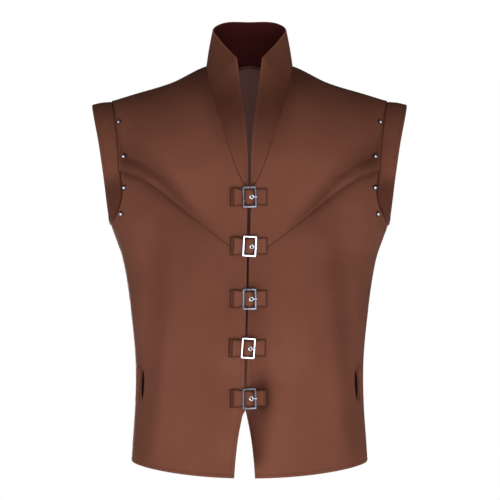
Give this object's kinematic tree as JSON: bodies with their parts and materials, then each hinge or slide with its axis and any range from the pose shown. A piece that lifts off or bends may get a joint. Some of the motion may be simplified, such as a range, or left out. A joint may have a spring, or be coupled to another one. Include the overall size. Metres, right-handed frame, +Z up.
{
  "type": "renaissance vest",
  "caption": "Sleeveless brown costume vest with a stand collar running into lapels, an open neck, buckled straps down the front, a slanting front flap each side and riveted armhole bands.",
  "frame": {"origin": "midway between the two side neck points, where the vest hangs on its wearer's shoulders", "axes": "+Z up, -Y to the front of the vest, +X to the wearer's left, which is the viewer's right"},
  "size_m": [0.5242, 0.255, 0.7504],
  "materials": {
    "brown_cloth": "smooth brushed brown",
    "bright_steel": "polished"
  },
  "bodies": {
    "root": {"front_left": "brown_cloth", "front_right": "brown_cloth", "back_left": "brown_cloth", "back_right": "brown_cloth", "yoke_left": "brown_cloth", "yoke_right": "brown_cloth", "collar_left": "brown_cloth", "collar_right": "brown_cloth", "armhole_band_left": "brown_cloth", "armhole_band_right": "brown_cloth", "pocket_welt_left": "brown_cloth", "pocket_welt_right": "brown_cloth", "strap_1": "brown_cloth", "strap_2": "brown_cloth", "strap_3": "brown_cloth", "strap_4": "brown_cloth", "strap_5": "brown_cloth", "anchor_1": "brown_cloth", "anchor_2": "brown_cloth", "anchor_3": "brown_cloth", "anchor_4": "brown_cloth", "anchor_5": "brown_cloth", "buckle_1": "bright_steel", "buckle_2": "bright_steel", "buckle_3": "bright_steel", "buckle_4": "bright_steel", "buckle_5": "bright_steel", "prong_1": "bright_steel", "prong_2": "bright_steel", "prong_3": "bright_steel", "prong_4": "bright_steel", "prong_5": "bright_steel", "rivet_left_1": "bright_steel", "rivet_left_2": "bright_steel", "rivet_left_3": "bright_steel", "rivet_left_4": "bright_steel", "rivet_right_1": "bright_steel", "rivet_right_2": "bright_steel", "rivet_right_3": "bright_steel", "rivet_right_4": "bright_steel"}
  },
  "joints": []
}
